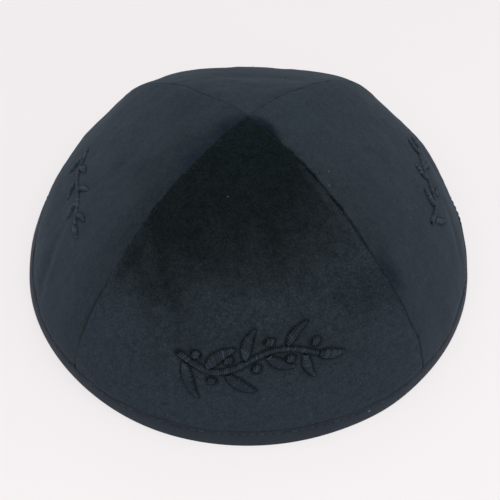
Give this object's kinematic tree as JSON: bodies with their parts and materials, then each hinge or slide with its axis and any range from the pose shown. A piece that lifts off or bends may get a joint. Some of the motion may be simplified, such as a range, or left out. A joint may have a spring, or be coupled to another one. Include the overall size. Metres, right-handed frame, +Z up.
{
  "type": "kippah skullcap",
  "caption": "Soft dome-shaped velvet kippah made of sewn gores that meet at the crown, with a folded binding round the open rim, resting rim down.",
  "frame": {"origin": "centre of the rim, on the surface that the cap rests on", "axes": "+Z up through the crown, -Y out of the front panel, +X to the right of someone facing the front panel"},
  "size_m": [0.1698, 0.17, 0.0661],
  "materials": {
    "velvet": "blue-black short-pile velvet, dark where it is seen along the pile and paler at grazing angles",
    "binding_tape": "smooth black woven tape with a faint violet cast, topstitched in black thread"
  },
  "bodies": {
    "root": {"panel_front": "velvet", "panel_right": "velvet", "panel_back": "velvet", "panel_left": "velvet", "rim_binding": "binding_tape"}
  },
  "joints": []
}
